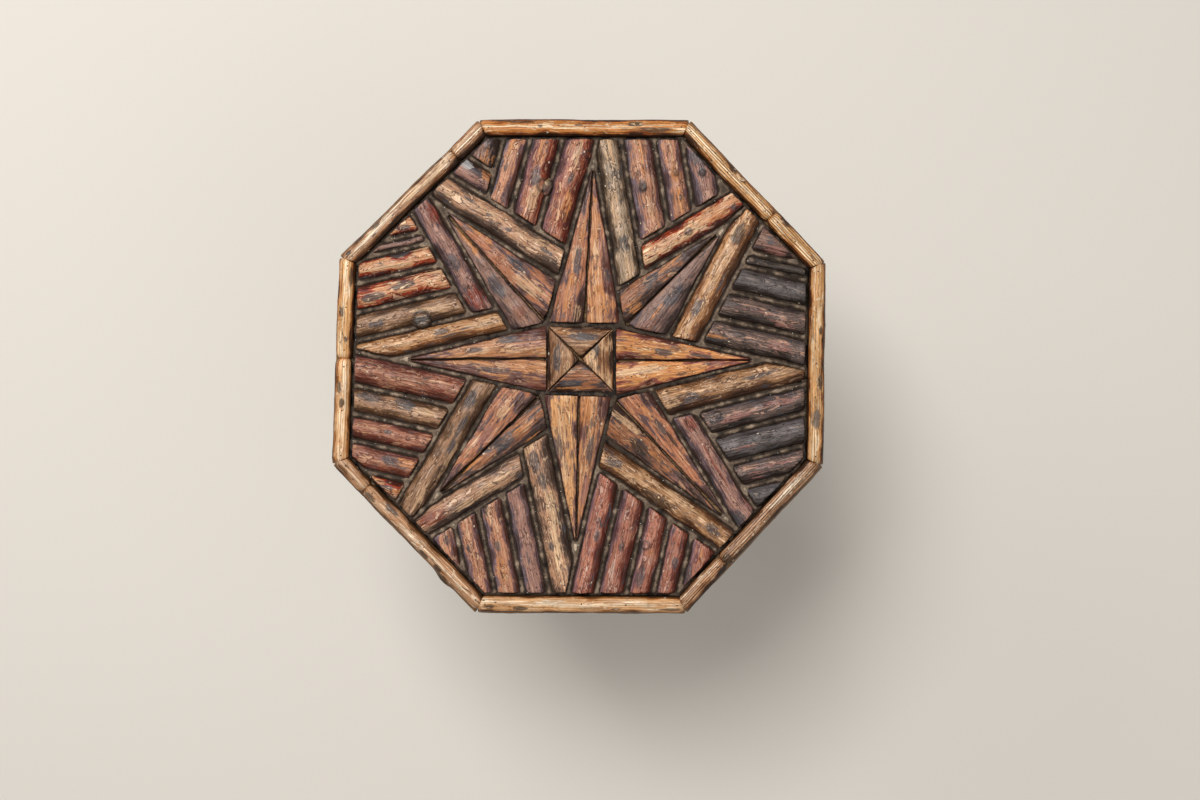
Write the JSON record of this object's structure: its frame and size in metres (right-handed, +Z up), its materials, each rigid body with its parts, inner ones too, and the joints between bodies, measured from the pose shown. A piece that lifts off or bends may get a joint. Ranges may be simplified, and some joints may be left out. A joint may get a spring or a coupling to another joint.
{
  "type": "twig table",
  "caption": "Octagonal rustic side table with a star mosaic of split twigs in a peeled twig rim, on a splayed base of tenoned poles.",
  "frame": {"origin": "on the floor under the middle of the octagonal top", "axes": "+Z up, +X to the right and +Y away as the star mosaic is seen from above in the picture"},
  "size_m": [0.56, 0.56, 0.61],
  "materials": {
    "plank_wood": "rough sawn",
    "edge_bark": "bark, varnished",
    "peeled_twig": "peeled, varnished",
    "star_wood": "split wood, varnished",
    "field_bark": "bark, varnished",
    "filler": "dusty bedding",
    "pole_bark": "bark"
  },
  "bodies": {
    "root": {"batten_e": "plank_wood", "batten_w": "plank_wood", "braces_ne": "pole_bark", "braces_nw": "pole_bark", "braces_se": "pole_bark", "braces_sw": "pole_bark", "centre_chip_e": "star_wood", "centre_chip_n": "star_wood", "centre_chip_s": "star_wood", "centre_chip_w": "star_wood", "edge_twig_e": "edge_bark", "edge_twig_n": "edge_bark", "edge_twig_ne": "edge_bark", "edge_twig_nw": "edge_bark", "edge_twig_s": "edge_bark", "edge_twig_se": "edge_bark", "edge_twig_sw": "edge_bark", "edge_twig_w": "edge_bark", "field_ene": "field_bark", "field_ese": "field_bark", "field_nne": "field_bark", "field_nnw": "field_bark", "field_sse": "field_bark", "field_ssw": "field_bark", "field_wnw": "field_bark", "field_wsw": "field_bark", "filler": "filler", "leg_ne": "pole_bark", "leg_nw": "pole_bark", "leg_se": "pole_bark", "leg_sw": "pole_bark", "plank_back": "plank_wood", "plank_front": "plank_wood", "plank_middle": "plank_wood", "rail_e": "pole_bark", "rail_n": "pole_bark", "rail_s": "pole_bark", "rail_w": "pole_bark", "ray_e": "star_wood", "ray_n": "star_wood", "ray_ne": "star_wood", "ray_nw": "star_wood", "ray_s": "star_wood", "ray_se": "star_wood", "ray_sw": "star_wood", "ray_w": "star_wood", "rim_twig_e": "peeled_twig", "rim_twig_n": "peeled_twig", "rim_twig_ne": "peeled_twig", "rim_twig_nw": "peeled_twig", "rim_twig_s": "peeled_twig", "rim_twig_se": "peeled_twig", "rim_twig_sw": "peeled_twig", "rim_twig_w": "peeled_twig", "stretcher_e": "pole_bark", "stretcher_n": "pole_bark", "stretcher_s": "pole_bark", "stretcher_w": "pole_bark"}
  },
  "joints": []
}
